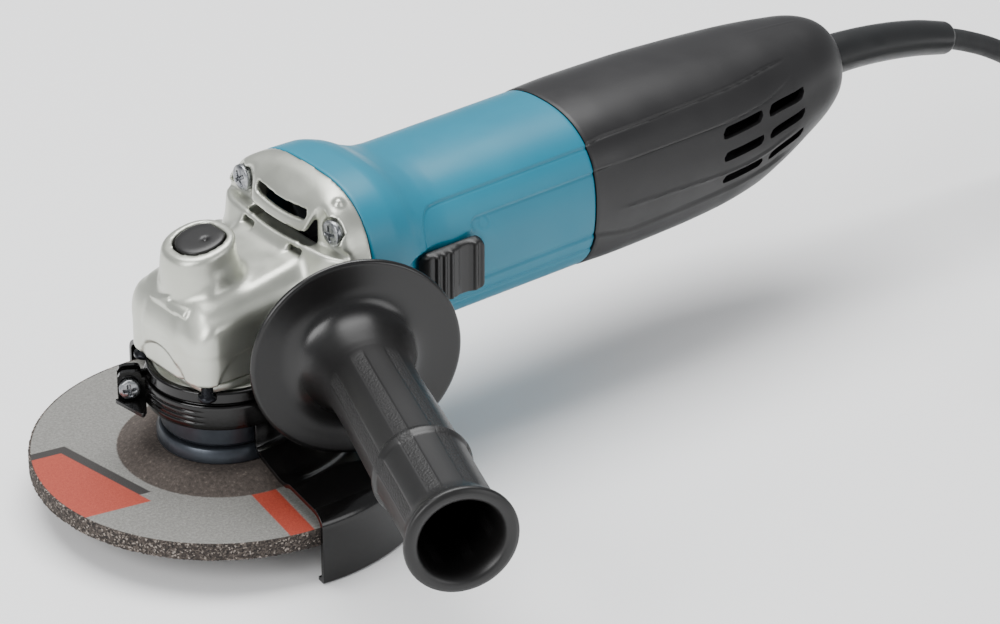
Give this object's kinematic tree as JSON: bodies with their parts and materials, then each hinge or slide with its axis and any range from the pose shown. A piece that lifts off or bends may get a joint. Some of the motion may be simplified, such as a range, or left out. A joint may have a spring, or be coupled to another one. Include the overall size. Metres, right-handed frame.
{
  "type": "angle grinder",
  "caption": "Corded angle grinder with a depressed-centre grinding wheel, a half guard, a side handle, a slide switch and a spindle lock button.",
  "frame": {"origin": "centre of the spindle's lower end face", "axes": "+Z along the spindle, up from the wheel into the gear head; +X from the gear head to the cord, -Y to the side-handle side"},
  "size_m": [0.4831, 0.2305, 0.1067],
  "materials": {
    "cast_metal": "satin die cast",
    "teal_plastic": "satin moulded",
    "black_plastic": "fine moulded grain",
    "inner_plastic": "plain moulded",
    "gloss_paint": "gloss black",
    "dark_steel": "blackened",
    "bright_steel": "zinc plated",
    "laminated_steel": "stacked sheet",
    "winding_copper": "lacquered wire",
    "brass": "plain",
    "bronze": "sintered",
    "brush_carbon": "graphite",
    "abrasive": "coarse grit",
    "cord_rubber": "matt"
  },
  "bodies": {
    "housing": {"air_baffle": "inner_plastic", "armature_front_bearing": "bright_steel", "armature_rear_bearing": "bright_steel", "bearing_box": "cast_metal", "bearing_box_screw_1": "bright_steel", "bearing_box_screw_2": "bright_steel", "bearing_box_screw_3": "bright_steel", "bearing_box_screw_4": "bright_steel", "brush_holder_lower": "brass", "brush_holder_upper": "brass", "carbon_brush_lower": "brush_carbon", "carbon_brush_upper": "brush_carbon", "cord": "cord_rubber", "cord_clamp": "inner_plastic", "cord_coil": "cord_rubber", "cord_guard": "cord_rubber", "cord_tail": "cord_rubber", "cord_tie": "black_plastic", "field_coil_lower": "winding_copper", "field_coil_upper": "winding_copper", "field_core": "laminated_steel", "gear_housing": "cast_metal", "housing_screw_1": "bright_steel", "housing_screw_2": "bright_steel", "housing_screw_3": "bright_steel", "housing_screw_4": "bright_steel", "lock_spring": "bright_steel", "motor_housing": "teal_plastic", "plug": "cord_rubber", "plug_pin_1": "brass", "plug_pin_2": "brass", "rear_cover": "black_plastic", "rear_tray": "inner_plastic", "spindle_lower_bearing": "bright_steel", "spindle_upper_bush": "bronze", "switch_body": "inner_plastic"},
    "spindle": {"spindle": "bright_steel", "bevel_gear": "dark_steel", "dust_ring": "dark_steel", "inner_flange": "dark_steel", "grinding_wheel": "abrasive", "lock_nut": "dark_steel"},
    "armature": {"armature_shaft": "bright_steel", "pinion": "bright_steel", "armature_core": "laminated_steel", "front_winding": "winding_copper", "rear_winding": "winding_copper", "commutator": "brass", "cooling_fan": "inner_plastic"},
    "guard": {"wheel_guard": "gloss_paint", "guard_clamp_band": "gloss_paint", "guard_clamp_screw": "bright_steel", "guard_clamp_nut": "bright_steel"},
    "spindle_lock": {"lock_button": "black_plastic", "lock_pin": "bright_steel"},
    "switch": {"switch_knob": "black_plastic", "switch_rod": "inner_plastic"},
    "handle": {"side_handle": "black_plastic", "handle_stud": "bright_steel"}
  },
  "joints": [
    {"name": "spindle_spin", "type": "hinge", "parent": "housing", "child": "spindle", "pos_m": [0, 0, 0], "axis": [0, 0, 1], "continuous": true},
    {"name": "armature_spin", "type": "hinge", "parent": "housing", "child": "armature", "pos_m": [0.08, 0, 0.0612], "axis": [1, 0, 0], "continuous": true},
    {"name": "guard_turn", "type": "hinge", "parent": "housing", "child": "guard", "pos_m": [0, 0, 0.03], "axis": [0, 0, 1], "range_deg": [-90, 95]},
    {"name": "spindle_lock_press", "type": "slide", "parent": "housing", "child": "spindle_lock", "axis": [0, 0, -1], "range_m": [0, 0.0042], "stiffness_N_per_m": 600, "springref_m": -0.002, "deforming": ["lock_spring"]},
    {"name": "switch_slide", "type": "slide", "parent": "housing", "child": "switch", "axis": [-1, 0, 0], "range_m": [0, 0.006]},
    {"name": "side_handle_turn", "type": "hinge", "parent": "housing", "child": "handle", "pos_m": [0.021, -0.044, 0.0519], "axis": [-0.3584, -0.9336, 0], "continuous": true}
  ],
  "couplings": [
    {"joint": "armature_spin", "follows": "spindle_spin", "ratio": 3.2727}
  ]
}
